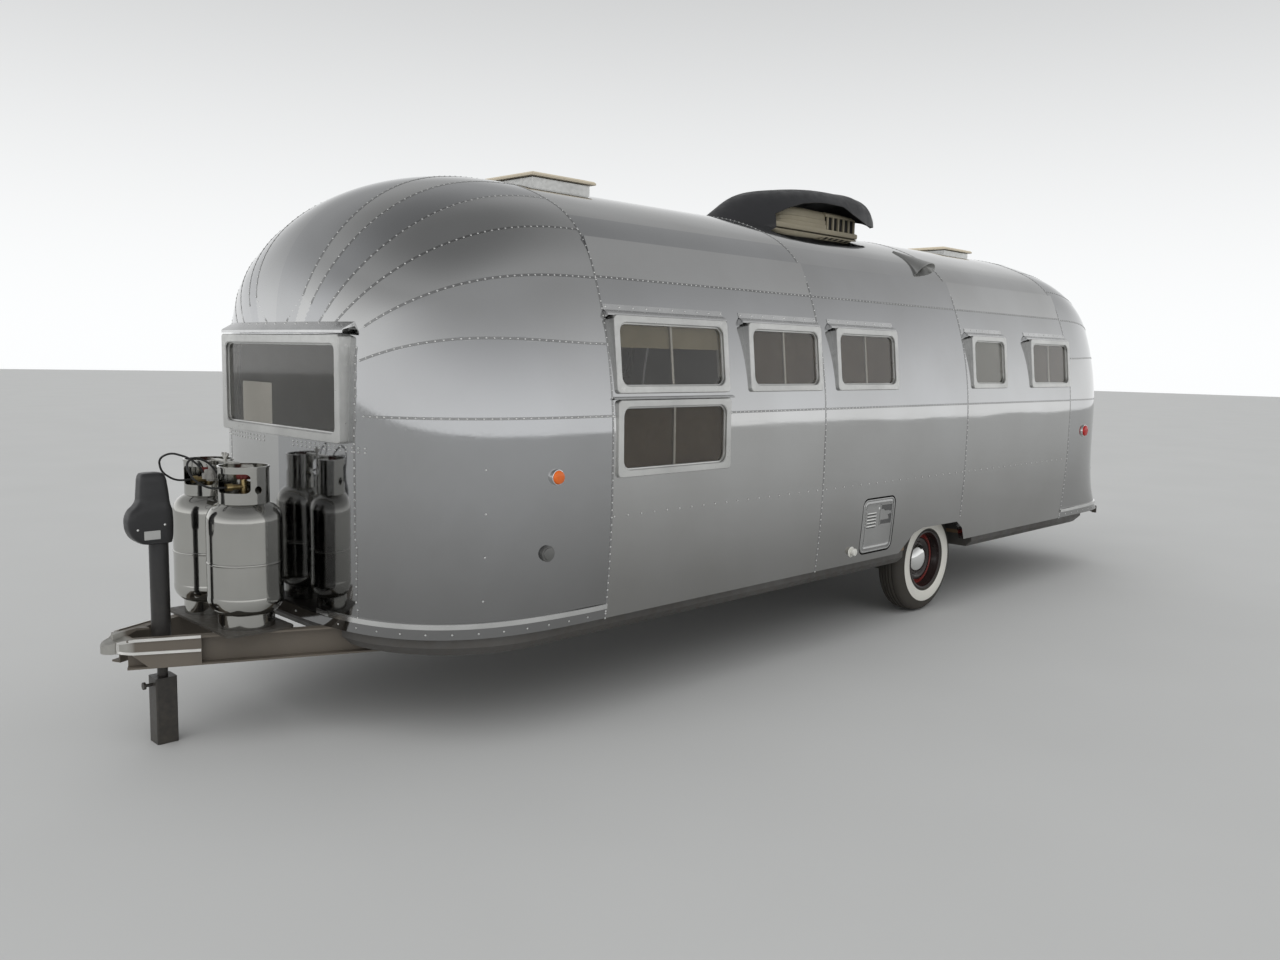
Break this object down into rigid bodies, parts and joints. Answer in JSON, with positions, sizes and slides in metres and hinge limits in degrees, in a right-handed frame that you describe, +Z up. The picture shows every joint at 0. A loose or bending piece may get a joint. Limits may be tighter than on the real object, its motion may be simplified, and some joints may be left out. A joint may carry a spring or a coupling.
{
  "type": "travel caravan",
  "caption": "Riveted polished aluminium travel caravan with domed ends, one axle, side door, drawbar jack and gas bottles.",
  "frame": {"origin": "on the ground, under the middle of the whole object's length and width", "axes": "+X rearwards along the body, +Y to the caravan's right, where the door is, +Z up"},
  "size_m": [7.935, 2.306, 2.8678],
  "materials": {
    "polished_skin": "mirror polished sheet",
    "window_aluminium": "satin",
    "dull_aluminium": "mill finish",
    "window_glass": "clear",
    "floor_wood": "sealed ply",
    "frame_steel": "satin black paint",
    "coupler_steel": "silver paint, worn",
    "polished_bottle": "polished",
    "valve_brass": "dull",
    "jack_black": "satin black paint",
    "jack_cover": "moulded",
    "cooler_tan": "weathered",
    "hood_black": "weathered",
    "amber_lens": "clear tinted",
    "red_lens": "clear tinted",
    "cap_plastic": "moulded",
    "tyre": "rubber with a wide white band",
    "wheel_black": "gloss black paint",
    "hub_chrome": "chrome",
    "vent_cream": "weathered"
  },
  "bodies": {
    "caravan": {"chassis": "frame_steel", "coupler": "coupler_steel", "belly_pan": "dull_aluminium", "floor": "floor_wood", "wheel_boxes": "dull_aluminium", "left_wall": "polished_skin", "right_wall": "polished_skin", "roof": "polished_skin", "front_cap": "polished_skin", "rear_cap": "polished_skin", "front_window_frame": "window_aluminium", "rear_window_frame": "window_aluminium", "end_window_glass": "window_glass", "left_window_frames": "window_aluminium", "right_window_frames": "window_aluminium", "side_window_glass": "window_glass", "drip_caps": "window_aluminium", "rub_rails": "polished_skin", "door_hinges": "window_aluminium", "tank_tray": "frame_steel", "gas_bottle_left": "polished_bottle", "gas_bottle_right": "polished_bottle", "tank_valves": "valve_brass", "tank_clamp": "coupler_steel", "jack_post": "jack_black", "jack_head": "jack_cover", "axle": "frame_steel", "leaf_springs": "frame_steel", "vent_bases": "window_aluminium", "roof_cooler": "cooler_tan", "cooler_hood": "hood_black", "roof_scoop": "window_aluminium", "marker_lamps": "amber_lens", "tail_lamps": "red_lens", "side_caps": "cap_plastic", "entry_step": "frame_steel", "rear_bumper": "frame_steel", "gas_regulator": "coupler_steel", "gas_hoses": "jack_black"},
    "left_wheel": {"tyre_left": "tyre", "wheel_left": "wheel_black", "hub_cap_left": "hub_chrome"},
    "right_wheel": {"tyre_right": "tyre", "wheel_right": "wheel_black", "hub_cap_right": "hub_chrome"},
    "door": {"entry_door": "polished_skin", "door_window_frame": "window_aluminium", "door_window_glass": "window_glass", "door_hardware": "hub_chrome"},
    "hatch": {"heater_hatch": "polished_skin"},
    "front_vent": {"front_vent_lid": "vent_cream"},
    "rear_vent": {"rear_vent_lid": "vent_cream"},
    "leg": {"jack_leg": "jack_black"}
  },
  "joints": [
    {"name": "left_wheel_spin", "type": "hinge", "parent": "caravan", "child": "left_wheel", "pos_m": [1.0125, -0.864, 0.358], "axis": [0, 1, 0], "continuous": true},
    {"name": "right_wheel_spin", "type": "hinge", "parent": "caravan", "child": "right_wheel", "pos_m": [1.0125, 0.864, 0.358], "axis": [0, 1, 0], "continuous": true},
    {"name": "door_swing", "type": "hinge", "parent": "caravan", "child": "door", "pos_m": [-0.4025, 1.131, 1.1], "axis": [0, 0, 1], "range_deg": [0, 105]},
    {"name": "hatch_swing", "type": "hinge", "parent": "caravan", "child": "hatch", "pos_m": [-0.0415, -1.122, 0.705], "axis": [0, 0, -1], "range_deg": [0, 110]},
    {"name": "front_vent_lift", "type": "hinge", "parent": "caravan", "child": "front_vent", "pos_m": [-1.8775, 0, 2.615], "axis": [0, -1, 0], "range_deg": [0, 55]},
    {"name": "rear_vent_lift", "type": "hinge", "parent": "caravan", "child": "rear_vent", "pos_m": [2.3825, 0, 2.6], "axis": [0, -1, 0], "range_deg": [0, 55]},
    {"name": "jack_slide", "type": "slide", "parent": "caravan", "child": "leg", "axis": [0, 0, 1], "range_m": [0, 0.065]}
  ]
}
